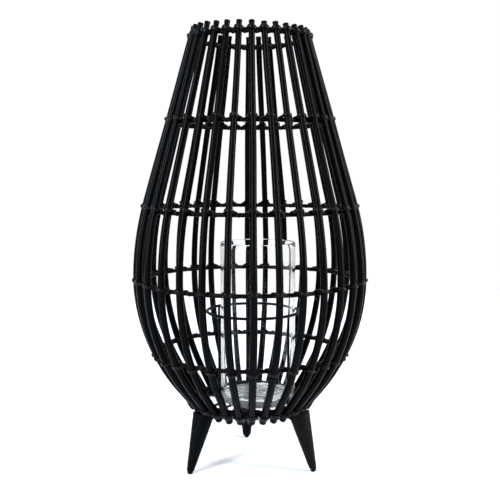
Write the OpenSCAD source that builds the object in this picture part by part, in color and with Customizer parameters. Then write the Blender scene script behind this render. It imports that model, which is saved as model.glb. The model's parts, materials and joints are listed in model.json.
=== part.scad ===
// Rattan hurricane lantern: a pear-shaped cage of bent poles on six lashed hoops,
// three wrapped cone feet, a wire holder standing on the base hoop and a loose glass.
// The floor is z = 0, the cage's axis is Z and the front faces -Y. Millimetres.

/* [Cage] */
// Height from the floor to the cut top ends of the poles
overall_h = 600; // [560:1:720]
// Number of poles round the cage
pole_count = 32; // [24:1:34]
// Diameter of a pole
pole_d = 8.5; // [6:0.1:9]
// Radius to a pole's centre line at its top end
top_r = 77; // [74:0.5:95]
// Radius to a pole's centre line at its widest point
belly_r = 156.5; // [146:0.5:190]
// Height of the widest point
belly_z = 266; // [250:1:300]
// Radius to a pole's centre line at its bottom end
base_r = 73; // [70:0.5:76]
// Height of a pole's bottom end
pole_bottom_z = 79; // [76:0.5:80]
// Radius of the slow bend above the widest point
upper_bend_r = 387; // [300:1:420]
// Lean of a pole's straight lower end, in degrees from upright
lower_lean = 39.2; // [38:0.1:42]
// How far a pole's knuckle stands out
knuckle_rise = 0.1; // [0.05:0.05:0.2]
// Length of a knuckle
knuckle_h = 2; // [1:0.5:4]
// Turn of the first pole from the front, in degrees
pole_phase = 0.7; // [-5:0.1:5]
// How far the poles drift round towards the right side, in degrees
side_drift = 2; // [0:0.1:2]
// How far the poles drift round towards the front and back, in degrees
front_drift = 0.9; // [0:0.1:1]

/* [Hoops] */
// Diameter of a hoop
hoop_d = 5; // [3:0.1:6]
// Drop from the poles' top ends to the top hoop
top_hoop_drop = 11; // [10:0.5:16]
// Height of the shoulder hoop
shoulder_hoop_z = 475; // [450:1:500]
// Height of the upper hoop
upper_hoop_z = 358; // [330:1:380]
// Height of the belly hoop
belly_hoop_z = 260; // [240:1:280]
// Height of the lower hoop
lower_hoop_z = 160; // [145:1:175]
// Rise from the poles' bottom ends to the base hoop
base_hoop_rise = 12.5; // [12:0.5:16]

/* [Lashing] */
// Thickness of the cane strand
strand_d = 1.8; // [1:0.1:2]
// Slack between a tie and what it binds
tie_gap = 0.3; // [0.25:0.05:0.35]

/* [Feet] */
// Turn of the first foot, the right one, in degrees from the front
foot_turn = 63; // [55:1:70]
// Radius to a foot's tip
foot_tip_r = 97.5; // [92:0.5:110]
// How far the middle of a foot's top lies outside the poles' bottom ends
foot_top_out = 3; // [2:0.5:4]
// Slant of a foot's top, in degrees
foot_top_slant = 20; // [16:1:22]
// Diameter of the wrapped foot at its top
foot_top_d = 29; // [28.5:0.5:35]
// Diameter of the wrapped foot at its tip
foot_tip_d = 10.4; // [9:0.1:14]
// Thickness of the cane wrap
wrap_t = 1.2; // [0.8:0.1:1.5]
// Height at which the wrap stops above the floor
wrap_end_z = 5; // [4:0.5:10]
// Gap round a part that sits in a socket, or under the wrap
socket_gap = 0.15; // [0.1:0.05:0.3]
// Diameter of a steel dowel in a foot
dowel_d = 1.8; // [1.4:0.1:2]
// How far a dowel reaches up into a pole
dowel_up = 13; // [8:1:20]
// How far a dowel reaches down into a foot
dowel_down = 6.5; // [4:0.5:7]

/* [Glass] */
// Outer diameter of the glass
glass_d = 104.5; // [80:0.5:106]
// Height of the glass
glass_h = 223; // [180:1:270]
// Thickness of the glass wall
glass_wall = 3; // [2:0.1:4]
// Thickness of the glass floor
glass_floor = 9; // [5:0.5:14]
// Radius of the glass's lower outer edge
glass_edge_r = 2.5; // [1:0.1:4]
// How far the glass stands to the right of the holder's middle
glass_off = 7; // [0:0.5:7]

/* [Holder] */
// Diameter of the holder's wire
wire_d = 3.5; // [2.5:0.1:4]
// Room between the glass and the holder's ring, all round if both were centred
ring_room = 10; // [8:0.5:11]
// Height of the holder's ring
ring_z = 216; // [180:1:240]
// How far the holder stands to the right of the axis
holder_shift = 4; // [0:0.5:4]
// Gap where one part rests on another
rest_gap = 0.1; // [0.05:0.05:0.3]
// Radius of the elbow at the foot of an upright
elbow_r = 5; // [4:0.5:8]
// How far the wires under the glass lie below the arms
spoke_drop = 7.7; // [7:0.1:8.5]
// How far an arm reaches past the middle of the base hoop
arm_reach = 2; // [1:0.5:3]

/* [Hidden] */
$fn = 64;
pole_r = pole_d / 2;
hoop_cr = hoop_d / 2;
wire_cr = wire_d / 2;
black = [0.05, 0.05, 0.055];
cane = [0.09, 0.085, 0.08];

// A tie crosses its pole and its hoop midway between their directions.
tie_slant = 45;
// Extra length of a cut, so that it runs clear through
cut_spare = 1;

// The hoops lie against the inside of the poles.
hoop_inset = pole_r + hoop_cr + rest_gap;
base_hoop_z = pole_bottom_z + base_hoop_rise;

// Upper part of the profile: a bend about (upper_c, belly_z), then a straight end.
upper_c = belly_r - upper_bend_r;
top_reach = norm([top_r - upper_c, overall_h - belly_z]);
upper_lean = atan2(overall_h - belly_z, top_r - upper_c) - acos(upper_bend_r / top_reach);
upper_straight = sqrt(top_reach * top_reach - upper_bend_r * upper_bend_r)
    - pole_r * tan(upper_lean);

// Lower part: a tighter bend about (lower_c, belly_z), then a straight end that
// leans by lower_lean and stops at (base_r, pole_bottom_z).
lower_bend_r = (sin(lower_lean) * (belly_z - pole_bottom_z)
    - cos(lower_lean) * (belly_r - base_r)) / (1 - cos(lower_lean));
lower_c = belly_r - lower_bend_r;
lower_straight = (belly_z - pole_bottom_z - lower_bend_r * sin(lower_lean)) / cos(lower_lean);

// Radius at height z of the line that runs inset inside the poles' centre lines
function profile_r(z, inset) =
    z > belly_z + (upper_bend_r - inset) * sin(upper_lean)
        ? upper_c + (upper_bend_r - inset - (z - belly_z) * sin(upper_lean)) / cos(upper_lean)
    : z > belly_z
        ? upper_c + sqrt(pow(upper_bend_r - inset, 2) - pow(z - belly_z, 2))
    : z > belly_z - (lower_bend_r - inset) * sin(lower_lean)
        ? lower_c + sqrt(pow(lower_bend_r - inset, 2) - pow(z - belly_z, 2))
    : lower_c + (lower_bend_r - inset + (z - belly_z) * sin(lower_lean)) / cos(lower_lean);

// Lean of that line at height z, inwards as it rises
function profile_lean(z, inset) =
    z > belly_z + (upper_bend_r - inset) * sin(upper_lean) ? upper_lean
    : z > belly_z ? asin((z - belly_z) / (upper_bend_r - inset))
    : z > belly_z - (lower_bend_r - inset) * sin(lower_lean)
        ? asin((z - belly_z) / (lower_bend_r - inset))
    : -lower_lean;

// Turn of pole i from the front, counted anticlockwise from above. Hand spacing lets
// the poles drift a little round the cage.
pitch = 360 / pole_count;
function even_turn(i) = pole_phase + pitch * i;
function pole_turn(i) =
    even_turn(i) + side_drift * sin(even_turn(i)) + front_drift * cos(2 * even_turn(i));
// The pole just before a turn, and a turn part of the way from pole i to the next
function pole_before(turn) = floor((turn - pole_phase) / pitch);
function between(i, share) = pole_turn(i) + share * (pole_turn(i + 1) - pole_turn(i));

HOOPS = [
    ["top", overall_h - top_hoop_drop],
    ["shoulder", shoulder_hoop_z],
    ["upper", upper_hoop_z],
    ["belly", belly_hoop_z],
    ["lower", lower_hoop_z],
    ["base", base_hoop_z]
];

// The feet stand evenly round the cage. The ends of the nearest poles sit in notches
// in their tops, and a dowel joins each foot to the one pole nearest to its middle.
FEET = ["right", "rear", "left"];
function foot_angle(f) = foot_turn + 120 * f;
function foot_pole(f) = round((foot_angle(f) - pole_phase) / pitch);
foot_top_r = base_r + foot_top_out;
foot_top_z = pole_bottom_z;
foot_core_top_r = foot_top_d / 2 - wrap_t;
foot_core_tip_r = foot_tip_d / 2 - wrap_t;
// The tip is a ball, cut flat where it stands
tip_flat = 0.2;
tip_z = foot_core_tip_r * (1 - tip_flat);
foot_lean = atan2(foot_tip_r - foot_top_r, foot_top_z - tip_z);
foot_len = norm([foot_tip_r - foot_top_r, foot_top_z - tip_z]);
foot_spare = foot_top_d / 2;
// How many poles on each side of its own one a foot's top can reach
notch_reach = ceil((foot_top_d + pole_d) / (2 * base_r * sin(pitch)) + 0.5);

// The holder's ring goes round the glass, which stands on the spokes.
ring_r = glass_d / 2 + ring_room + wire_cr;
arm_z = base_hoop_z + hoop_cr + rest_gap + wire_cr;
spoke_z = arm_z - spoke_drop;
glass_z = spoke_z + wire_cr + rest_gap;
glass_shift = holder_shift + glass_off;

// The holder's four arms lie in gaps between the poles, where the ties leave the top
// of the base hoop free: this share of the way to the next pole.
arm_share = 0.32;
ARM_TURNS = [for (turn = [-40, 50, 140, 230]) between(pole_before(turn), arm_share)];
base_hoop_r = profile_r(base_hoop_z, hoop_inset);
// Distance from the axis to the holder's ring along a turn
function upright_r(turn) =
    holder_shift * sin(turn) + sqrt(pow(ring_r, 2) - pow(holder_shift * cos(turn), 2));
// The feet of the holder's uprights
UPRIGHTS = [for (turn = ARM_TURNS)
    [upright_r(turn) * sin(turn), -upright_r(turn) * cos(turn), spoke_z]];

function pole_name(i) = str("pole_", i < 10 ? "0" : "", i);

// Turns its children so that +X points outwards at this turn from the front
module at_turn(turn) {
    rotate([0, 0, turn - 90])
        children();
}

module torus(ring, d) {
    rotate_extrude()
        translate([ring, 0])
            circle(d = d);
}

// Cylinder along a pole's bottom end, from up along the pole to down past its end
module pole_end(up, down, d) {
    translate([lower_c, 0, belly_z])
        rotate([0, lower_lean, 0])
            translate([lower_bend_r, 0, -lower_straight - down])
                cylinder(h = up + down, d = d);
}

module bend(centre, ring, turned, angle) {
    translate([centre, 0, belly_z])
        rotate([0, turned, 0])
            rotate([90, 0, 0])
                rotate_extrude(angle = angle)
                    translate([ring, 0])
                        circle(d = pole_d);
}

function holds_foot(i) =
    len([for (f = [0 : 2]) if ((foot_pole(f) - i) % pole_count == 0) 1]) > 0;

// The low ring that rattan has at its joints, here where a bend begins or ends
module knuckle() {
    cylinder(h = knuckle_h, d = pole_d + 2 * knuckle_rise, center = true);
}

module pole(i) {
    color(black)
        at_turn(pole_turn(i))
            difference() {
                union() {
                    translate([upper_c, 0, belly_z])
                        rotate([0, -upper_lean, 0])
                            translate([upper_bend_r, 0, 0]) {
                                cylinder(h = upper_straight, d = pole_d);
                                knuckle();
                            }
                    bend(upper_c, upper_bend_r, 0, upper_lean);
                    translate([belly_r, 0, belly_z])
                        knuckle();
                    bend(lower_c, lower_bend_r, lower_lean, lower_lean);
                    translate([lower_c, 0, belly_z])
                        rotate([0, lower_lean, 0])
                            translate([lower_bend_r, 0, 0])
                                knuckle();
                    pole_end(lower_straight, 0, pole_d);
                }
                if (holds_foot(i))
                    pole_end(dowel_up, cut_spare, dowel_d + 2 * rest_gap);
            }
}

module hoop(z) {
    color(black)
        translate([0, 0, z])
            torus(profile_r(z, hoop_inset), hoop_d);
}

// One tie: a strand looped round a pole and the hoop behind it. Seen from outside it
// slants down across the pole from left to right.
module tie(z) {
    loop_r = sqrt(2 * (pow(pole_r, 2) + pow(hoop_cr, 2))) + tie_gap + strand_d / 2;
    translate([profile_r(z, hoop_inset), 0, z])
        rotate([0, -profile_lean(z, hoop_inset), 0])
            translate([pole_r, 0, 0])
                rotate([-tie_slant, 0, 0])
                    torus(loop_r, strand_d);
}

module lashing(z) {
    color(cane)
        for (i = [1 : pole_count])
            at_turn(pole_turn(i))
                tie(z);
}

// Cone along a foot's axis, a little longer than the foot
module foot_cone(top_cr, tip_cr) {
    taper = (top_cr - tip_cr) / foot_len;
    translate([foot_tip_r, 0, tip_z])
        rotate([0, -foot_lean, 0])
            cylinder(h = foot_len + foot_spare, r1 = tip_cr, r2 = top_cr + taper * foot_spare);
}

// Everything above a foot's slanted top
module above_foot() {
    translate([foot_top_r, 0, foot_top_z])
        rotate([0, -foot_top_slant, 0])
            translate([-foot_top_d, -foot_top_d, 0])
                cube([2 * foot_top_d, 2 * foot_top_d, foot_top_d]);
}

module below(z) {
    translate([foot_tip_r - foot_top_d, -foot_top_d, z - foot_top_d])
        cube([2 * foot_top_d, 2 * foot_top_d, foot_top_d]);
}

// Notches for the ends of the poles that reach a foot
module pole_notches(f) {
    for (k = [-notch_reach : notch_reach])
        at_turn(pole_turn(foot_pole(f) + k))
            pole_end(foot_top_d, socket_gap, pole_d + 2 * socket_gap);
}

module foot_core(f) {
    color(black)
        difference() {
            at_turn(foot_angle(f))
                difference() {
                    union() {
                        foot_cone(foot_core_top_r, foot_core_tip_r);
                        translate([foot_tip_r, 0, tip_z])
                            sphere(r = foot_core_tip_r);
                    }
                    above_foot();
                    below(0);
                }
            pole_notches(f);
            at_turn(pole_turn(foot_pole(f)))
                pole_end(cut_spare, dowel_down + rest_gap, dowel_d + 2 * rest_gap);
        }
}

module foot_wrap(f) {
    color(cane)
        difference() {
            at_turn(foot_angle(f))
                difference() {
                    foot_cone(foot_top_d / 2, foot_tip_d / 2);
                    foot_cone(foot_core_top_r + socket_gap, foot_core_tip_r + socket_gap);
                    above_foot();
                    below(wrap_end_z);
                }
            pole_notches(f);
        }
}

module foot_dowels() {
    color("silver")
        for (f = [0 : 2])
            at_turn(pole_turn(foot_pole(f)))
                pole_end(dowel_up - rest_gap, dowel_down, dowel_d);
}

module holder_ring() {
    color(black)
        translate([holder_shift, 0, ring_z])
            torus(ring_r, wire_d);
}

// Where the line through a and c meets the line through b and d, seen from above
function meeting(a, c, b, d) =
    let (
        u = c - a,
        v = d - b,
        w = b - a
    )
    a + u * (w.x * v.y - w.y * v.x) / (u.x * v.y - u.y * v.x);

// An upright and the elbow at its foot, which turns towards +X
module upright() {
    translate([0, 0, elbow_r])
        cylinder(h = ring_z - wire_cr - rest_gap - spoke_z - elbow_r, d = wire_d);
    translate([elbow_r, 0, elbow_r])
        rotate([90, 0, 0])
            rotate([0, 0, 180])
                rotate_extrude(angle = 90)
                    translate([elbow_r, 0])
                        circle(d = wire_d);
}

// The level run of wire that follows the elbow
module spoke(length) {
    translate([elbow_r, 0, 0])
        rotate([0, 90, 0])
            cylinder(h = length, d = wire_d);
}

// Sets its children at a point, with +X towards another point at the same height
module from_to(from, to) {
    way = to - from;
    translate(from)
        rotate([0, 0, atan2(way.y, way.x)])
            children();
}

// The wire that runs right across under the glass, with an upright at each end
module holder_long_wire() {
    span = norm(UPRIGHTS[2] - UPRIGHTS[0]);
    color(black)
        from_to(UPRIGHTS[0], UPRIGHTS[2]) {
            upright();
            spoke(span - 2 * elbow_r);
            translate([span, 0, 0])
                mirror([1, 0, 0])
                    upright();
        }
}

// The wire on one side of the long wire, welded to it at its inner end
module holder_half_wire(k) {
    hub = meeting(UPRIGHTS[0], UPRIGHTS[2], UPRIGHTS[1], UPRIGHTS[3]);
    color(black)
        from_to(UPRIGHTS[k], hub) {
            upright();
            spoke(norm(hub - UPRIGHTS[k]) - elbow_r - wire_cr - rest_gap);
        }
}

// Four short bars from the uprights out over the base hoop, which carries them
module holder_arms() {
    start = wire_cr + rest_gap;
    color(black)
        for (turn = ARM_TURNS)
            at_turn(turn)
                translate([upright_r(turn) + start, 0, arm_z])
                    rotate([0, 90, 0])
                        cylinder(h = base_hoop_r + arm_reach - upright_r(turn) - start, d = wire_d);
}

// Half section of the glass, with a rounded rim and a rounded lower edge
module glass_section() {
    outer = glass_d / 2;
    rim = glass_wall / 2;
    translate([outer - glass_wall, glass_edge_r])
        square([glass_wall, glass_h - glass_edge_r - rim]);
    translate([outer - rim, glass_h - rim])
        circle(d = glass_wall);
    square([outer - glass_edge_r, glass_floor]);
    translate([outer - glass_edge_r, glass_edge_r])
        circle(r = glass_edge_r);
    translate([0, glass_edge_r])
        square([outer, glass_floor - glass_edge_r]);
}

module glass_cylinder() {
    color([0.85, 0.9, 0.9, 0.4])
        translate([glass_shift, 0, glass_z])
            rotate_extrude()
                glass_section();
}

for (i = [1 : pole_count])
    pole(i);
for (h = HOOPS) {
    hoop(h[1]);
    lashing(h[1]);
}
for (f = [0 : 2]) {
    foot_core(f);
    foot_wrap(f);
}
foot_dowels();
holder_ring();
holder_long_wire();
holder_half_wire(1);  // holder_right_wire
holder_half_wire(3);  // holder_left_wire
holder_arms();
glass_cylinder();
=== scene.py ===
"""A black rattan lantern: bent poles on lashed hoops, three wrapped feet, a wire holder and a
loose hurricane glass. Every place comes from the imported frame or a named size. Metres."""
import json
import math
import random

import bpy
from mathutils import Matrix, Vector, noise


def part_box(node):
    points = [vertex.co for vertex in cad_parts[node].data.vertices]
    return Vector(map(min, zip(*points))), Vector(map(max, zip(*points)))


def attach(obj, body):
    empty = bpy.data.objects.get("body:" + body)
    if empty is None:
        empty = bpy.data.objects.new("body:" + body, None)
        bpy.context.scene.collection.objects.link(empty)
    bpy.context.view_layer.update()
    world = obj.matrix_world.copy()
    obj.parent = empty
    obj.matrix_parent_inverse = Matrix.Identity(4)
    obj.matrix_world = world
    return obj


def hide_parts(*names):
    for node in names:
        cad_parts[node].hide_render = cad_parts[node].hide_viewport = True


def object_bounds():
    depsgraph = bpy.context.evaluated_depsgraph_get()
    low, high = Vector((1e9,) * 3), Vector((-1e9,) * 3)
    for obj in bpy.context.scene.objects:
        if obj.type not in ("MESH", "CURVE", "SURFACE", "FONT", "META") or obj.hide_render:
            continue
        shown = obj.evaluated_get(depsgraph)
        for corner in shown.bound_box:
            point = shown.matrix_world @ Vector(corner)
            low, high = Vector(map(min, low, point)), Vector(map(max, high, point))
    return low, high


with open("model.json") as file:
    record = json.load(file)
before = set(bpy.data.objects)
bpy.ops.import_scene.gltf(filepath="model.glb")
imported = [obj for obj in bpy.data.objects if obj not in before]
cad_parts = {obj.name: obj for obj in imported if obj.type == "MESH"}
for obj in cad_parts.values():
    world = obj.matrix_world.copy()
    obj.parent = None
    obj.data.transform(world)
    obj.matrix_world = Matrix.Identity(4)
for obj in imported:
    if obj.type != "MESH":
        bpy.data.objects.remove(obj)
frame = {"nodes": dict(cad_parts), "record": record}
CAD_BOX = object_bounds()

# ---------------------------------------------------------------- sizes shared with the CAD
BELLY_Z = 0.266
UPPER_BEND_R = 0.387
LOWER_LEAN = math.radians(39.2)
TOP_R = 0.077
BASE_R = 0.073
POLE_BOTTOM_Z = 0.079
POLE_R = 0.00425
REST_GAP = 0.0001
FOOT_TOP_OUT = 0.003
FOOT_TOP_SLANT = math.radians(20)
FOOT_TOP_R = 0.0145
FOOT_TIP_R = 0.0052
# The axis of a foot ends this share of its core's tip radius above the floor.
FOOT_TIP_SHARE = 0.8
WRAP_T = 0.0012
WRAP_END_Z = 0.005
GLASS_FLOOR = 0.009
GLASS_WALL = 0.003
GLASS_EDGE_R = 0.0025

POLES = sorted(n for n in frame["nodes"] if n.startswith("pole_"))
HOOPS = ["top", "shoulder", "upper", "belly", "lower", "base"]
FEET = ["right", "rear", "left"]
UP = Vector((0, 0, 1))


# ---------------------------------------------------------------- places read from the frame
def middle(node):
    low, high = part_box(node)
    return (low + high) / 2


def half_size(node):
    low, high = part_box(node)
    return (high - low) / 2


def reach(low, high):
    """The centre of a pole's widest point along one axis, from its box along that axis."""
    return high - POLE_R if high > -low else low + POLE_R


def pole_widest(node):
    low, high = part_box(node)
    return Vector((reach(low.x, high.x), reach(low.y, high.y), 0))


BELLY_R = sum(pole_widest(n).length for n in POLES) / len(POLES)
OVERALL_H = CAD_BOX[1].z
HOOP_R = half_size("hoop_belly").z
HOOP_INSET = POLE_R + HOOP_R + REST_GAP

# The poles' profile: straight, tight bend, slow bend, straight.
UPPER_C = BELLY_R - UPPER_BEND_R
TOP_REACH = math.hypot(TOP_R - UPPER_C, OVERALL_H - BELLY_Z)
UPPER_LEAN = (math.atan2(OVERALL_H - BELLY_Z, TOP_R - UPPER_C)
              - math.acos(UPPER_BEND_R / TOP_REACH))
UPPER_STRAIGHT = math.sqrt(TOP_REACH ** 2 - UPPER_BEND_R ** 2) - POLE_R * math.tan(UPPER_LEAN)
LOWER_BEND_R = ((math.sin(LOWER_LEAN) * (BELLY_Z - POLE_BOTTOM_Z)
                 - math.cos(LOWER_LEAN) * (BELLY_R - BASE_R)) / (1 - math.cos(LOWER_LEAN)))
LOWER_C = BELLY_R - LOWER_BEND_R
LOWER_STRAIGHT = ((BELLY_Z - POLE_BOTTOM_Z - LOWER_BEND_R * math.sin(LOWER_LEAN))
                  / math.cos(LOWER_LEAN))
LOWER_ARC = LOWER_BEND_R * LOWER_LEAN
UPPER_ARC = UPPER_BEND_R * UPPER_LEAN
POLE_LENGTH = LOWER_STRAIGHT + LOWER_ARC + UPPER_ARC + UPPER_STRAIGHT


def profile(s):
    """Radius, height and inward lean at a length s up a pole from its bottom end."""
    if s < LOWER_STRAIGHT:
        height = POLE_BOTTOM_Z + s * math.cos(LOWER_LEAN)
        return BASE_R + s * math.sin(LOWER_LEAN), height, -LOWER_LEAN
    s -= LOWER_STRAIGHT
    if s < LOWER_ARC:
        a = LOWER_LEAN - s / LOWER_BEND_R
        return LOWER_C + LOWER_BEND_R * math.cos(a), BELLY_Z - LOWER_BEND_R * math.sin(a), -a
    s -= LOWER_ARC
    a = min(s / UPPER_BEND_R, UPPER_LEAN)
    over = max(0, s - UPPER_ARC)
    radius = UPPER_C + UPPER_BEND_R * math.cos(a) - over * math.sin(a)
    return radius, BELLY_Z + UPPER_BEND_R * math.sin(a) + over * math.cos(a), a


class Setting:
    """The directions at a turn round the cage: out, right as seen from outside, up along a pole."""

    def __init__(self, turn, lean):
        self.flat_out = Vector((math.sin(turn), -math.cos(turn), 0))
        self.right = Vector((math.cos(turn), math.sin(turn), 0))
        self.out = self.flat_out * math.cos(lean) + UP * math.sin(lean)
        self.up = UP * math.cos(lean) - self.flat_out * math.sin(lean)


def turn_of(point):
    """The turn of a point from the front, anticlockwise from above."""
    return math.atan2(point.x, -point.y) % math.tau


TURNS = {n: turn_of(pole_widest(n)) for n in POLES}
BUTT_SWELL = 0.22
TOP_SWELL = -0.03
HALVINGS = 40


def pole_radius(s):
    """Rattan is thicker towards its butt end, here the lower one."""
    share = s / POLE_LENGTH
    return POLE_R * (1 + BUTT_SWELL * (1 - share) ** 2 + TOP_SWELL * share)


def length_at(z):
    """The length up a pole at which its centre line is at height z, found by halving."""
    low, high = 0, POLE_LENGTH
    for _ in range(HALVINGS):
        mid = (low + high) / 2
        if profile(mid)[1] < z:
            low = mid
        else:
            high = mid
    return low


# ---------------------------------------------------------------- mesh helpers
SOFT_EDGE = math.radians(35)
CUT_EDGE = math.radians(60)
ROD_SIDES = 16


def new_object(name, verts, faces, marks, sharp):
    """A smooth piece whose points carry their grain marks. Edges steeper than sharp stay crisp."""
    mesh = bpy.data.meshes.new(name)
    mesh.from_pydata(verts, [], faces)
    mesh.validate()
    mesh.shade_smooth()
    mesh.set_sharp_from_angle(angle=sharp)
    held = mesh.attributes.new("grain", "FLOAT_VECTOR", "POINT")
    held.data.foreach_set("vector", [c for mark in marks for c in mark])
    obj = bpy.data.objects.new(name, mesh)
    bpy.context.scene.collection.objects.link(obj)
    return obj


def band(a, b, n):
    """The faces between two rings of n points, which start at a and b."""
    return [(a + j, a + (j + 1) % n, b + (j + 1) % n, b + j) for j in range(n)]


def capped(name, rings, grain):
    """A surface through equal rings of points, closed with a fan at each end."""
    n = len(rings[0])
    verts = [p for ring in rings for p in ring]
    marks = [g for ring in grain for g in ring]
    faces = []
    for k in range(len(rings) - 1):
        faces += band(k * n, (k + 1) * n, n)
    for k, order in ((0, -1), (len(rings) - 1, 1)):
        verts.append(sum(rings[k], Vector()) / n)
        marks.append(sum((Vector(g) for g in grain[k]), Vector()) / n)
        ring = [k * n + j for j in range(n)][::order]
        faces += [(ring[j], ring[(j + 1) % n], len(verts) - 1) for j in range(n)]
    return new_object(name, verts, faces, marks, SOFT_EDGE)


def loops(name, strands, sharp=SOFT_EDGE):
    """One object of closed strands, each given as its rings and their grain marks."""
    verts = []
    marks = []
    faces = []
    for rings, grain in strands:
        start = len(verts)
        n = len(rings[0])
        verts += [p for ring in rings for p in ring]
        marks += [g for ring in grain for g in ring]
        for k in range(len(rings)):
            faces += band(start + k * n, start + (k + 1) % len(rings) * n, n)
    return new_object(name, verts, faces, marks, sharp)


def spline(points, per_span):
    """Closed Catmull-Rom curve through points, each a Vector of any size."""
    n = len(points)
    out = []
    for k in range(n):
        p = [points[(k + d) % n] for d in (-1, 0, 1, 2)]
        for m in range(per_span):
            t = m / per_span
            out.append(((2 * p[1]) + (p[2] - p[0]) * t
                        + (2 * p[0] - 5 * p[1] + 4 * p[2] - p[3]) * t ** 2
                        + (3 * p[1] - p[0] - 3 * p[2] + p[3]) * t ** 3) / 2)
    return out


def sweep_rings(points, outs, section, sizes=None):
    """Runs a section along a closed line, scaled by sizes. outs say which way its +Y faces."""
    n = len(points)
    rings = []
    grain = []
    run = 0
    for k in range(n):
        ahead = points[(k + 1) % n]
        along = (ahead - points[k - 1]).normalized()
        out = (outs[k] - along * outs[k].dot(along)).normalized()
        side = along.cross(out)
        size = sizes[k] if sizes else 1
        rings.append([points[k] + side * x * size + out * y * size for x, y in section])
        grain.append([(x, y, run) for x, y in section])
        run += (ahead - points[k]).length
    return rings, grain


def sweep_marks(marks, per_span, section):
    """Runs a section along a closed curve through marks, each a place, a way out and a size."""
    points = spline([p for p, _, _ in marks], per_span)
    outs = [o.normalized() for o in spline([o for _, o, _ in marks], per_span)]
    sizes = [v.x for v in spline([Vector((size, 0)) for _, _, size in marks], per_span)]
    return sweep_rings(points, outs, section, sizes)


def round_section(r, sides):
    return [(r * math.cos(math.tau * j / sides), -r * math.sin(math.tau * j / sides))
            for j in range(sides)]


def cane_section(w, t):
    """Split cane: flat below, domed above, with soft edges."""
    shares = ((-0.8, 0.76), (-0.42, 0.96), (0, 1), (0.42, 0.96), (0.8, 0.76), (1, 0.35),
              (0.86, 0.05), (0, 0), (-0.86, 0.05), (-1, 0.35))
    return [(x * w / 2, y * t) for x, y in shares]


def round_rod(name, centre, ring_r, rod_r, steps, waver, lumps, seed):
    """A rod bent by hand into a level ring: a little uneven round its circle."""
    points = []
    outs = []
    for k in range(steps):
        turn = math.tau * k / steps
        at = Setting(turn, 0)
        spot = Vector((lumps * math.cos(turn), lumps * math.sin(turn), seed))
        off = waver * noise.noise(spot)
        points.append(centre + at.flat_out * (ring_r + off) + UP * off)
        outs.append(at.flat_out)
    return loops(name, [sweep_rings(points, outs, round_section(rod_r, ROD_SIDES))])


# ---------------------------------------------------------------- poles
POLE_SIDES = 24
POLE_STEP = 0.004
CHAMFER = 0.0005
CHAMFER_SHARE = 0.8
# How far a pole sways from its line, by how much of its thickness it is uneven, and how fast each
# goes up the pole, in radians per metre.
SIDE_SWAY = 0.0003
SIDE_SWAY_RATE = 28
OUT_SWAY = 0.00015
OUT_SWAY_RATE = 41
UNEVEN_SHARE = 0.015
UNEVEN_RATE = 17
# A growth joint is a low ridge with a shallow groove above it, placed in half widths of the ridge.
JOINT_RISE = 0.00022
JOINT_HALF = 0.0009
JOINT_STEP = JOINT_HALF / 3
JOINT_STEPS = 9
LEAST_STEP = JOINT_HALF / 4
JOINT_SLANT = 0.0005
GROOVE_DEPTH = 0.45
GROOVE_AT = 1.8
FIRST_JOINT = (0.03, 0.16)
NEXT_JOINT = (0.15, 0.24)
LAST_JOINT_BELOW_TIP = 0.03
# A neck lies just below each tip, and the tips stand highest at one turn.
TIP_R = 0.0041
NECK_R = 0.0035
NECK_LENGTH = 0.009
NECK_STEEPNESS = 2.5
CUT_TILT = 0.05
TIP_RISE = 0.0065
TIP_RISE_TURN = math.radians(225)
TIP_UNEVEN = (-0.0004, 0.001)


def pole_stations(joints):
    """Lengths up a pole for its rings: an even step, and close ones at growth joints and ends."""
    stations = {0.0, CHAMFER, POLE_LENGTH - CHAMFER, POLE_LENGTH}
    count = int(POLE_LENGTH / POLE_STEP)
    stations.update(POLE_LENGTH * k / count for k in range(1, count))
    for joint in joints:
        stations.update(joint + JOINT_STEP * k for k in range(-JOINT_STEPS, JOINT_STEPS + 1))
    ordered = sorted(stations)
    kept = [ordered[0]]
    for s in ordered[1:]:
        if s - kept[-1] > LEAST_STEP:
            kept.append(s)
    kept[-1] = POLE_LENGTH
    return kept


def joint_height(x):
    """The height of a growth joint's ridge and groove, x half widths above its middle."""
    return JOINT_RISE * (math.exp(-x * x) - GROOVE_DEPTH * math.exp(-(x - GROOVE_AT) ** 2))


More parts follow.
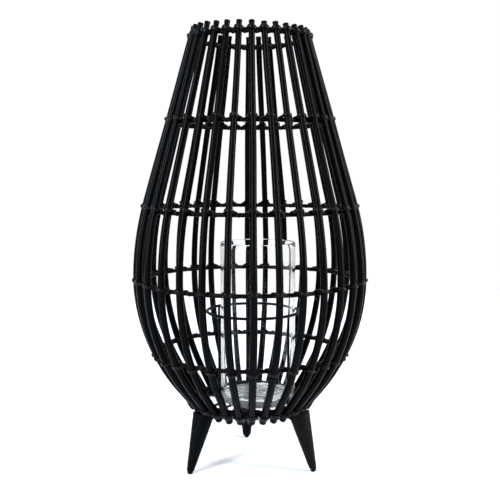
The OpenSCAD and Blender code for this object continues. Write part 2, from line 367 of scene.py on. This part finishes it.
def make_pole(node, seed):
    rng = random.Random(seed)
    turn = TURNS[node]
    joints = []
    s = rng.uniform(*FIRST_JOINT)
    while s < POLE_LENGTH - LAST_JOINT_BELOW_TIP:
        joints.append(s)
        s += rng.uniform(*NEXT_JOINT)
    phase = [rng.uniform(0, math.tau) for _ in range(4)]
    tilt = CUT_TILT * rng.uniform(-1, 1)
    # the tips stand a little higher towards the back and the left
    extra = TIP_RISE * (0.5 + 0.5 * math.cos(turn - TIP_RISE_TURN)) + rng.uniform(*TIP_UNEVEN)
    angles = [math.tau * j / POLE_SIDES for j in range(POLE_SIDES)]
    rings = []
    grain = []
    for s in pole_stations(joints):
        radius, z, lean = profile(s)
        at = Setting(turn, lean)
        near_top = max(0, 1 - (POLE_LENGTH - s) / NECK_LENGTH)
        centre = at.flat_out * radius + UP * z
        centre += at.right * SIDE_SWAY * math.sin(s * SIDE_SWAY_RATE + phase[0])
        centre += at.out * OUT_SWAY * math.sin(s * OUT_SWAY_RATE + phase[1])
        centre += at.out * (pole_radius(s) - POLE_R)
        centre += at.up * extra * near_top
        r = pole_radius(s) * (1 + UNEVEN_SHARE * math.sin(s * UNEVEN_RATE + phase[2]))
        r += (NECK_R - r) * min(1, NECK_STEEPNESS * near_top) + (TIP_R - NECK_R) * near_top ** 3
        if s < CHAMFER or s > POLE_LENGTH - CHAMFER:
            r -= CHAMFER * CHAMFER_SHARE
        ring = []
        for a in angles:
            bump = 0
            for k, joint in enumerate(joints):
                slant = JOINT_SLANT * math.sin(phase[3] + k - a)
                bump += joint_height((s - joint - slant) / JOINT_HALF)
            rim = at.right * math.cos(a) - at.out * math.sin(a)
            shift = at.up * (-tilt * POLE_R * math.sin(a) * near_top ** 4)
            ring.append(centre + rim * (r + bump) + shift)
        rings.append(ring)
        grain.append([(POLE_R * math.cos(a), POLE_R * math.sin(a), s + seed) for a in angles])
    return capped(f"rattan_{node}", rings, grain)


# ---------------------------------------------------------------- hoops and their lashings
HOOP_SWELL = 0.0003
HOOP_STEPS = 288
HOOP_WAVER = 0.00015
HOOP_LUMPS = 3
# One crossing, seen from outside, from left to right. On the hoop: how far beyond the pole's
# edge (a share of the free length between two poles) and the turn round the hoop in degrees,
# from the outside over the top. On the pole: the turn round it and the height above the hoop.
# The last number of each is the strand's size there: pulled tight under the hoop it lies flat.
TIE_BEFORE = [(0.34, 180, 0.5), (0.15, 105, 1.15)]
TIE_ACROSS = [(-100, 0.0029, 1), (-70, 0.0037, 1), (-35, 0.0038, 1), (0, 0.0034, 1),
              (35, 0.0028, 1), (72, 0.0023, 1)]
TIE_AFTER = [(0.13, 60, 1.2), (0.28, 20, 0.9), (0.42, -60, 0.5), (0.54, -130, 0.4),
             (0.64, -180, 0.4)]
# Where the poles stand close, at the top and the base, the strand goes once more round the hoop.
TIE_AFTER_TWICE = [(0.10, 60, 1), (0.18, -30, 1.1), (0.26, -110, 1.1), (0.34, -190, 1.1),
                   (0.42, -270, 1.1), (0.50, -350, 1.1), (0.58, -430, 1.1), (0.66, -510, 1)]
# Where they stand wide apart, it lies flat along the hoop's inner side for the rest of the way.
FREE_LENGTH = 0.0134
INNER_SIDE = -180
FLAT_SIZE = 0.4
FLAT_STEP = 0.006
CANE_W = 0.0046
CANE_T = 0.0019
CANE_STEPS = 5
TIE_UNEVEN = 0.0005
TIE_SLIP = 0.02
TOP_TIE_DROP = 0.0030
TOP_TIE_SIZE = 1.2
TOP_ROUND_SIZE = 0.75
# Below the base hoop the cane is woven on round the poles' ends, out and in by turns.
WEAVE_HEIGHTS = [0.0892, 0.0874, 0.0856, 0.0838]
WEAVE_W = 0.0036
WEAVE_T = 0.0015
WEAVE_SQUEEZE = 0.75
WEAVE_STEPS = 6


def make_hoop(name, seed):
    node = f"hoop_{name}"
    ring_r = half_size(node).x - HOOP_R - HOOP_SWELL
    return round_rod(f"rattan_{node}", UP * middle(node).z, ring_r, HOOP_R + HOOP_SWELL,
                     HOOP_STEPS, HOOP_WAVER, HOOP_LUMPS, seed)


def turns_and_gaps():
    """Each pole's turn in order round the cage, with the gaps to the poles before and after it."""
    turns = sorted(TURNS.values())
    n = len(turns)
    return [(turn, (turn - turns[k - 1]) % math.tau, (turns[(k + 1) % n] - turn) % math.tau)
            for k, turn in enumerate(turns)]


def woven_strand(height, first_in):
    """A strand that passes outside one pole and inside the next, at one height."""
    s = length_at(height)
    radius, z, lean = profile(s)
    bulk = pole_radius(s)
    pole_out = bulk - POLE_R
    offsets = [pole_out + bulk + 2 * REST_GAP, pole_out - bulk - 2 * REST_GAP - WEAVE_T]
    marks = []
    for k, (turn, _, ahead) in enumerate(turns_and_gaps()):
        offset = offsets[(k + first_in) % 2]
        other = offsets[(k + first_in + 1) % 2]
        for share, held, size in ((0, offset, 1), (0.5, (offset + other) / 2, WEAVE_SQUEEZE)):
            at = Setting(turn + ahead * share, lean)
            marks.append((at.flat_out * (radius + held / math.cos(lean)) + UP * z, at.out, size))
    return sweep_marks(marks, WEAVE_STEPS, cane_section(WEAVE_W, WEAVE_T))


def make_lashing(name, seed):
    """One strand of split cane that winds on round the hoop and crosses over every pole."""
    rng = random.Random(seed)
    node = f"hoop_{name}"
    ring_r = half_size(node).x - HOOP_R
    z = middle(node).z
    s = length_at(z)
    lean = profile(s)[2]
    bulk = pole_radius(s)
    after = TIE_AFTER_TWICE if name in ("top", "base") else TIE_AFTER
    drop = TOP_TIE_DROP if name == "top" else 0
    tie_size = TOP_TIE_SIZE if name == "top" else 1
    round_size = TOP_ROUND_SIZE if name == "top" else 1
    marks = []

    def on_hoop(turn, round_deg, size):
        at = Setting(turn, lean)
        a = math.radians(round_deg)
        out = at.out * math.cos(a) + at.up * math.sin(a)
        marks.append((at.flat_out * ring_r + UP * z + out * (HOOP_R + REST_GAP), out, size))

    def on_pole(turn, round_deg, height, size):
        at = Setting(turn, lean)
        a = math.radians(round_deg)
        out = at.out * math.cos(a) + at.right * math.sin(a)
        axis = at.flat_out * ring_r + UP * z + at.out * (HOOP_INSET + bulk - POLE_R)
        marks.append((axis + at.up * height + out * (bulk + 2 * REST_GAP), out, size))

    edge = bulk / ring_r
    for turn, behind, ahead in turns_and_gaps():
        free_ahead = min(ahead - 2 * edge, FREE_LENGTH / ring_r)
        free_behind = min(behind - 2 * edge, FREE_LENGTH / ring_r)
        lift = rng.uniform(-TIE_UNEVEN, TIE_UNEVEN) - drop
        slip = rng.uniform(-TIE_SLIP, TIE_SLIP)
        for share, round_deg, size in TIE_BEFORE:
            on_hoop(turn - edge - free_behind * (share + slip), round_deg, size)
        for round_deg, height, size in TIE_ACROSS:
            on_pole(turn, round_deg, height + lift, size * tie_size)
        for share, round_deg, size in after:
            on_hoop(turn + edge + free_ahead * (share + slip), round_deg, size * round_size)
        rest = ahead - 2 * edge - free_ahead
        count = int(rest * ring_r / FLAT_STEP)
        start = turn + edge + free_ahead * after[-1][0]
        for m in range(1, count):
            on_hoop(start + rest * m / count, INNER_SIDE, FLAT_SIZE)
    strands = [sweep_marks(marks, CANE_STEPS, cane_section(CANE_W, CANE_T))]
    if name == "base":
        strands += [woven_strand(height, k) for k, height in enumerate(WEAVE_HEIGHTS)]
    return loops(f"cane_lashing_{name}", strands)


# ---------------------------------------------------------------- feet
WRAP_SIDES = 72
WRAP_PITCH = 0.0032
WRAP_STEPS = 9
WRAP_TIP_R = 0.0047
WRAP_RISE = 0.0005
WRAP_SINK_SHARE = 0.6
WRAP_UNEVEN = 0.00012
UNEVEN_TURNS = 60
REAR_WRAP_BULK = 0.0009
# Keeps each wrap's grain marks well away from the others'.
GRAIN_APART = 1000


def foot_frame(foot):
    """Tip, top and directions of a foot's axis, from its mount on the floor and the poles' ends."""
    mount = next(m for m in frame["record"]["mounts"] if m["name"] == f"foot_tip_{foot}")
    tip = Vector(mount["pos_m"])
    at = Setting(turn_of(tip), 0)
    tip.z = FOOT_TIP_SHARE * (FOOT_TIP_R - WRAP_T)
    top = at.flat_out * (BASE_R + FOOT_TOP_OUT) + UP * POLE_BOTTOM_Z
    return tip, top, at


def make_wrap(foot, seed):
    """Flat cane wound close round a cone. Its turns tilt towards the slanted top as they rise."""
    tip, top, at = foot_frame(foot)
    axis = top - tip
    length = axis.length
    axis.normalize()
    right = at.right
    out = right.cross(axis).normalized()
    if out.dot(at.flat_out) < 0:
        out.negate()
    cut_normal = UP * math.cos(FOOT_TOP_SLANT) - at.flat_out * math.sin(FOOT_TOP_SLANT)
    rng = random.Random(seed)
    uneven = [rng.uniform(-WRAP_UNEVEN, WRAP_UNEVEN) for _ in range(UNEVEN_TURNS)]
    bulk = REAR_WRAP_BULK if foot == "rear" else 0
    count = int(length / WRAP_PITCH * WRAP_STEPS)
    rings = []
    grain = []
    for k in range(count + 1):
        share = k / count
        ring = []
        marks = []
        for j in range(WRAP_SIDES):
            a = math.tau * j / WRAP_SIDES
            rim = out * math.cos(a) + right * math.sin(a)
            # the two ends of this line up the cone: the level lower edge and the slanted top edge
            line = axis + rim * (FOOT_TOP_R - WRAP_TIP_R) / length
            foot_of = tip + rim * WRAP_TIP_R
            low = (WRAP_END_Z - foot_of.z) / line.z
            high = (top - foot_of).dot(cut_normal) / line.dot(cut_normal)
            s = low + (high - low) * share
            phase = share * (count / WRAP_STEPS) - a / math.tau
            turn_no = math.floor(phase)
            x = 2 * (phase - turn_no) - 1
            crown = WRAP_RISE * ((1 - x ** 4) - WRAP_SINK_SHARE)
            rise = crown + uneven[turn_no % UNEVEN_TURNS] + bulk
            ring.append(foot_of + line * s + rim * rise)
            marks.append((rim.dot(out) * FOOT_TOP_R, rim.dot(right) * FOOT_TOP_R,
                          (phase + GRAIN_APART * seed) * WRAP_PITCH))
        rings.append(ring)
        grain.append(marks)

    def inside(ring):
        """The same ring on the cane's inner face."""
        return [p + (tip + axis * (p - tip).dot(axis) - p).normalized() * WRAP_T for p in ring]

    # the inner wall joins the two edges, and the upper edge slopes down inwards by one ring
    rings = [inside(rings[0]), *rings, inside(rings[-2])]
    grain = [grain[0], *grain, grain[-1]]
    return loops(f"cane_wrap_{foot}", [(rings, grain)], CUT_EDGE)


# ---------------------------------------------------------------- holder ring
RING_SWELL = 0.0003
RING_STEPS = 240
RING_WAVER = 0.0002
RING_LUMPS = 2
RING_SEED = 7


def make_ring():
    """The holder's ring, of painted wire."""
    half = half_size("holder_ring")
    wire_r = half.z
    return round_rod("wire_holder_ring", middle("holder_ring"), half.x - wire_r,
                     wire_r + RING_SWELL, RING_STEPS, RING_WAVER, RING_LUMPS, RING_SEED)


# ---------------------------------------------------------------- glass
MM = 0.001
GLASS_SIDES = 180
GLASS_FILLET = 0.004
WALL_STEPS = 30
EDGE_STEPS = 6
RIM_STEPS = 8
# The pressed floor is hollow below within this radius, and a little uneven on both faces.
HOLLOW_R_MM = 43
HOLLOW = 0.0012
FLOOR_WAVER = 0.0005
FLOOR_LUMPS = 330


def arc(r, z, radius, start, end, steps):
    """Points of a section on an arc round (r, z), with both ends."""
    angles = [start + (end - start) * k / steps for k in range(steps + 1)]
    return [(r + radius * math.cos(a), z + radius * math.sin(a)) for a in angles]


def upright(r, start, end):
    """Points of a section between two heights, without the ends."""
    return [(r, start + (end - start) * k / WALL_STEPS) for k in range(1, WALL_STEPS)]


def make_glass():
    low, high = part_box("glass_cylinder")
    centre = (low + high) / 2
    outer = (high.x - low.x) / 2
    inner = outer - GLASS_WALL
    rim = GLASS_WALL / 2
    edge_z = low.z + GLASS_EDGE_R
    rim_z = high.z - rim
    inside_floor = low.z + GLASS_FLOOR
    fillet_z = inside_floor + GLASS_FILLET
    section = [(r * MM, low.z + HOLLOW * (1 - (r / HOLLOW_R_MM) ** 2))
               for r in range(1, HOLLOW_R_MM + 1, 2)]
    section += arc(outer - GLASS_EDGE_R, edge_z, GLASS_EDGE_R, -math.pi / 2, 0, EDGE_STEPS)
    section += upright(outer, edge_z, rim_z)
    section += arc(outer - rim, rim_z, rim, 0, math.pi, RIM_STEPS)
    section += upright(inner, rim_z, fillet_z)
    section += arc(inner - GLASS_FILLET, fillet_z, GLASS_FILLET, 0, -math.pi / 2, EDGE_STEPS)
    section += [(r * MM, inside_floor) for r in range(HOLLOW_R_MM, 0, -1)]
    verts = []
    for k in range(GLASS_SIDES):
        a = math.tau * k / GLASS_SIDES
        for r, z in section:
            p = Vector((r * math.cos(a), r * math.sin(a), z))
            if z < inside_floor + FLOOR_WAVER and r < inner - GLASS_FILLET:
                p.z += FLOOR_WAVER * noise.noise(p * FLOOR_LUMPS)
            verts.append(Vector((centre.x, centre.y, 0)) + p)
    n = len(section)
    faces = []
    for k in range(GLASS_SIDES):
        a = k * n
        b = (k + 1) % GLASS_SIDES * n
        faces += [(a + j, b + j, b + j + 1, a + j + 1) for j in range(n - 1)]
    faces.append([k * n for k in range(GLASS_SIDES)][::-1])
    faces.append([k * n + n - 1 for k in range(GLASS_SIDES)])
    return new_object("hurricane_glass", verts, faces, verts, CUT_EDGE)


# ---------------------------------------------------------------- materials
# The stain leaves a weak gloss, so its index is lower than a varnish's.
BLACK_IOR = 1.11
CANE_IOR = 1.17


def new_material(name, **sockets):
    mat = bpy.data.materials.new(name)
    mat.use_nodes = True
    bsdf = mat.node_tree.nodes["Principled BSDF"]
    for key, value in sockets.items():
        bsdf.inputs[key.replace("_", " ")].default_value = value
    return mat, mat.node_tree, bsdf


def node_of(tree, kind, **settings):
    made = tree.nodes.new(kind)
    for key, value in settings.items():
        if key in made.inputs:
            made.inputs[key].default_value = value
        else:
            setattr(made, key, value)
    return made


def stretched(tree, vector, along):
    made = node_of(tree, "ShaderNodeMapping", Scale=(1, 1, along))
    tree.links.new(vector, made.inputs["Vector"])
    return made.outputs["Vector"]


def grain_vector(tree, along):
    """A made piece's own coordinates: across, across and along, the last one scaled."""
    read = node_of(tree, "ShaderNodeAttribute", attribute_name="grain")
    return stretched(tree, read.outputs["Vector"], along)


def object_vector(tree, upwards=1):
    """The object's coordinates, the upward one scaled."""
    read = node_of(tree, "ShaderNodeTexCoord")
    return stretched(tree, read.outputs["Object"], upwards)


def noise_of(tree, vector, scale, detail, roughness=0.55):
    made = node_of(tree, "ShaderNodeTexNoise", Scale=scale, Detail=detail, Roughness=roughness)
    tree.links.new(vector, made.inputs["Vector"])
    return made.outputs["Fac"]


def ramp_of(tree, fac, stops):
    made = node_of(tree, "ShaderNodeValToRGB")
    elements = made.color_ramp.elements
    while len(elements) < len(stops):
        elements.new(0.5)
    for element, (position, colour) in zip(elements, stops):
        element.position = position
        element.color = (*colour, 1)
    tree.links.new(fac, made.inputs["Fac"])
    return made.outputs["Color"]


def range_of(tree, fac, low, high, start=0, end=1):
    """Spreads what lies between start and end over low to high."""
    made = node_of(tree, "ShaderNodeMapRange")
    made.inputs["From Min"].default_value = start
    made.inputs["From Max"].default_value = end
    made.inputs["To Min"].default_value = low
    made.inputs["To Max"].default_value = high
    tree.links.new(fac, made.inputs["Value"])
    return made.outputs["Result"]


def bump_of(tree, height, strength, distance):
    made = node_of(tree, "ShaderNodeBump", Strength=strength, Distance=distance)
    tree.links.new(height, made.inputs["Height"])
    return made.outputs["Normal"]


def finish_of(tree, bsdf, colour, roughness, normal=None):
    tree.links.new(colour, bsdf.inputs["Base Color"])
    tree.links.new(roughness, bsdf.inputs["Roughness"])
    if normal:
        tree.links.new(normal, bsdf.inputs["Normal"])


def rattan_material(name, dark, light, rough):
    """Stained rattan with its skin on: long blotches along the rod and fine fibres."""
    mat, tree, bsdf = new_material(name, IOR=BLACK_IOR)
    fibre = noise_of(tree, grain_vector(tree, along=0.02), scale=1800, detail=3)
    blotch = noise_of(tree, grain_vector(tree, along=0.25), scale=60, detail=5)
    finish_of(tree, bsdf,
              ramp_of(tree, blotch, [(0.35, dark), (0.75, light)]),
              range_of(tree, blotch, low=rough - 0.08, high=rough + 0.1),
              bump_of(tree, fibre, strength=0.15, distance=0.0003))
    return mat


def cane_material(name, dark, light, scuff_and_painted_highlight, rough):
    """Black split cane, with a few paler brown patches along the grain: a painted highlight, set at
    random.
    """
    mat, tree, bsdf = new_material(name, IOR=CANE_IOR)
    fibre = noise_of(tree, grain_vector(tree, along=0.03), scale=2600, detail=3)
    blotch = noise_of(tree, grain_vector(tree, along=0.5), scale=150, detail=4)
    finish_of(tree, bsdf,
              # the palest stop is painted highlight, the brownish gleam of the ties, scattered at
              # random along the grain
              ramp_of(tree, blotch, [(0.4, dark), (0.62, light), (0.72, scuff_and_painted_highlight)]),
              range_of(tree, fibre, low=rough - 0.1, high=rough + 0.12),
              bump_of(tree, fibre, strength=0.35, distance=0.0002))
    return mat


def wrap_material(name, dark, light, scuff_and_painted_highlight, rough):
    """Wound cane with a few scuffs across the turns. Each turn is painted darker towards its edges:
    painted shade in the grooves between the turns.
    """
    mat, tree, bsdf = new_material(name, IOR=BLACK_IOR)
    # at a scale of 1 a wave texture repeats every tau / 20 of its coordinate
    repeat = math.tau / 20
    turns = node_of(tree, "ShaderNodeTexWave", bands_direction="Z", Scale=repeat / WRAP_PITCH)
    tree.links.new(grain_vector(tree, along=1), turns.inputs["Vector"])
    # painted shade: the wave darkens each turn towards its edges, where the grooves between the
    # turns lie
    inner = range_of(tree, turns.outputs["Fac"], low=0.4, high=1, end=0.4)
    blotch = noise_of(tree, grain_vector(tree, along=3), scale=90, detail=5, roughness=0.7)
    both = node_of(tree, "ShaderNodeMath", operation="MULTIPLY")
    tree.links.new(blotch, both.inputs[0])
    tree.links.new(inner, both.inputs[1])
    stops = [(0.3, dark), (0.5, light), (0.72, light), (0.76, scuff_and_painted_highlight)]
    finish_of(tree, bsdf,
              ramp_of(tree, both.outputs["Value"], stops),
              range_of(tree, blotch, low=rough - 0.06, high=rough + 0.1),
              bump_of(tree, blotch, strength=0.2, distance=0.0002))
    return mat


def wood_material():
    """Black stained wood with an upright grain."""
    mat, tree, bsdf = new_material("stained_foot_wood", IOR=BLACK_IOR)
    grain = noise_of(tree, object_vector(tree, upwards=0.12), scale=420, detail=5)
    finish_of(tree, bsdf,
              ramp_of(tree, grain, [(0.3, (0.001, 0.001, 0.001)), (0.8, (0.005, 0.0045, 0.004))]),
              range_of(tree, grain, low=0.42, high=0.62),
              bump_of(tree, grain, strength=0.3, distance=0.0004))
    return mat


def wire_material():
    """Black paint with a fine speckle."""
    mat, tree, bsdf = new_material("painted_wire", IOR=BLACK_IOR)
    speck = noise_of(tree, object_vector(tree), scale=900, detail=4)
    finish_of(tree, bsdf,
              ramp_of(tree, speck, [(0.4, (0.001, 0.001, 0.001)), (0.9, (0.004, 0.0036, 0.003))]),
              range_of(tree, speck, low=0.28, high=0.5),
              bump_of(tree, speck, strength=0.2, distance=0.0002))
    return mat


def steel_material():
    """Plain steel with drawn scratches."""
    mat, tree, bsdf = new_material("plain_steel", Metallic=1.0)
    scratch = noise_of(tree, object_vector(tree, upwards=0.1), scale=1500, detail=3)
    finish_of(tree, bsdf,
              ramp_of(tree, scratch, [(0.3, (0.35, 0.35, 0.36)), (0.8, (0.55, 0.55, 0.56))]),
              range_of(tree, scratch, low=0.25, high=0.45))
    return mat


def glass_material():
    """Clear walls on a pressed floor that blurs and greys what is seen through it."""
    mat, tree, bsdf = new_material("clear_glass", Transmission_Weight=1.0, IOR=1.46,
                                   Specular_Tint=(0.06, 0.06, 0.06, 1))
    place_of = node_of(tree, "ShaderNodeSeparateXYZ")
    tree.links.new(object_vector(tree), place_of.inputs["Vector"])
    floor_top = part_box("glass_cylinder")[0].z + GLASS_FLOOR
    wall = range_of(tree, place_of.outputs["Z"], low=0, high=1,
                    start=floor_top, end=floor_top + 2 * MM)
    finish_of(tree, bsdf,
              ramp_of(tree, wall, [(0, (0.62, 0.66, 0.66)), (1, (0.985, 0.993, 0.99))]),
              range_of(tree, wall, low=0.22, high=0.0))
    return mat


def floor_material():
    """A pale studio floor, faintly mottled."""
    mat, tree, bsdf = new_material("pale_floor", Specular_IOR_Level=0.1)
    mottle = noise_of(tree, object_vector(tree), scale=3, detail=2)
    finish_of(tree, bsdf,
              ramp_of(tree, mottle, [(0.3, (0.86, 0.86, 0.86)), (0.7, (0.90, 0.90, 0.90))]),
              range_of(tree, mottle, low=0.7, high=0.9))
    return mat


POLE_RATTAN = rattan_material("black_rattan", rough=0.25, dark=(0.0002, 0.0002, 0.0003),
                              light=(0.0011, 0.0011, 0.0013))
HOOP_RATTAN = rattan_material("black_thin_rattan", rough=0.3, dark=(0.0002, 0.0002, 0.0002),
                              light=(0.001, 0.001, 0.001))
# The lashing cane's palest colour is painted highlight.
LASHING_CANE = cane_material("black_cane", rough=0.24, dark=(0.0006, 0.0006, 0.0006),
                             light=(0.003, 0.0026, 0.002), scuff_and_painted_highlight=(0.025, 0.019, 0.010))
WRAP_CANE = wrap_material("wrap_cane", rough=0.45, dark=(0.0002, 0.0002, 0.0003),
                          light=(0.0009, 0.0010, 0.0012), scuff_and_painted_highlight=(0.02, 0.022, 0.022))
# A lighter, browner copy of the wrap cane for the right foot: painted light, in place of a warm
# light falling on that foot.
PAINTED_LIGHT_WRAP_CANE = wrap_material("painted_light_wrap_cane", rough=0.45, dark=(0.0008, 0.0007, 0.0005),
                               light=(0.0064, 0.0052, 0.0042), scuff_and_painted_highlight=(0.03, 0.025, 0.02))
FOOT_WOOD = wood_material()
WIRE_PAINT = wire_material()
STEEL = steel_material()
GLASS = glass_material()


# ---------------------------------------------------------------- the pieces
def dress(obj, mat):
    obj.data.materials.clear()
    obj.data.materials.append(mat)


def place(obj, body, mat, slot, *nodes):
    """Gives a made piece its material, hangs it on its body and hides the CAD parts it stands for.
    """
    dress(obj, mat)
    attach(obj, body)
    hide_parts(*nodes)


for k, node in enumerate(POLES):
    place(make_pole(node, k + 1), "cage", POLE_RATTAN, "pole", node)
for k, name in enumerate(HOOPS):
    place(make_hoop(name, k + 1), "cage", HOOP_RATTAN, "hoop", f"hoop_{name}")
    place(make_lashing(name, k + 1), "cage", LASHING_CANE, "cane", f"lashing_{name}")
for k, foot in enumerate(FEET):
    # the right foot gets the lighter copy of the wrap cane, which is painted light
    cane = PAINTED_LIGHT_WRAP_CANE if foot == "right" else WRAP_CANE
    place(make_wrap(foot, k + 1), "cage", cane, "foot_cane", f"foot_wrap_{foot}")
    dress(frame["nodes"][f"foot_core_{foot}"], FOOT_WOOD)
dress(frame["nodes"]["foot_dowels"], STEEL)
place(make_ring(), "cage", WIRE_PAINT, "wire", "holder_ring")
for node in ("holder_long_wire", "holder_right_wire", "holder_left_wire", "holder_arms"):
    dress(frame["nodes"][node], WIRE_PAINT)
place(make_glass(), "glass", GLASS, "glass", "glass_cylinder")

# ---------------------------------------------------------------- floor, light and camera
FLOOR_HALF = 1.5
SENSOR_MM = 36
LENS_MM = 57.26
CAMERA_PLACE = (0, -1.1026, 0.4128)
CAMERA_DOWN_DEG = 5.76


def make_floor():
    mesh = bpy.data.meshes.new("floor")
    corners = [(x * FLOOR_HALF, y * FLOOR_HALF, 0) for x, y in ((-1, -1), (1, -1), (1, 1), (-1, 1))]
    mesh.from_pydata(corners, [], [(0, 1, 2, 3)])
    obj = bpy.data.objects.new("floor", mesh)
    bpy.context.scene.collection.objects.link(obj)
    dress(obj, floor_material())


def make_light(name, place_at, aim_at, size, power, colour):
    data = bpy.data.lights.new(name, "AREA")
    data.shape = "RECTANGLE"
    data.size, data.size_y = size
    data.energy = power
    data.color = colour
    obj = bpy.data.objects.new(name, data)
    obj.location = place_at
    obj.rotation_euler = (Vector(aim_at) - Vector(place_at)).to_track_quat("-Z", "Y").to_euler()
    bpy.context.scene.collection.objects.link(obj)


def make_world(strength):
    world = bpy.data.worlds.new("studio")
    bpy.context.scene.world = world
    world.use_nodes = True
    back = world.node_tree.nodes["Background"]
    back.inputs["Color"].default_value = (1, 1, 1, 1)
    back.inputs["Strength"].default_value = strength


def make_camera():
    data = bpy.data.cameras.new("camera")
    data.sensor_width = SENSOR_MM
    data.lens = LENS_MM
    obj = bpy.data.objects.new("camera", data)
    obj.location = CAMERA_PLACE
    obj.rotation_euler = (math.radians(90 - CAMERA_DOWN_DEG), 0, 0)
    bpy.context.scene.collection.objects.link(obj)
    bpy.context.scene.camera = obj


make_camera()
make_floor()
make_world(strength=1.0)
make_light("key", place_at=(-1.7, -1.9, 1.3), aim_at=(0, 0, 0.45), size=(0.5, 2.0), power=135,
           colour=(0.6, 0.8, 1.0))
make_light("fill", place_at=(2.3, -0.6, 1.1), aim_at=(0, 0, 0.45), size=(0.5, 2.0), power=110,
           colour=(0.88, 0.9, 1.0))
make_light("overhead", place_at=(0, 0.3, 2.6), aim_at=(0, 0.3, 0), size=(2.5, 2.5), power=15,
           colour=(1.0, 1.0, 1.0))
bpy.context.scene.view_settings.view_transform = "Standard"
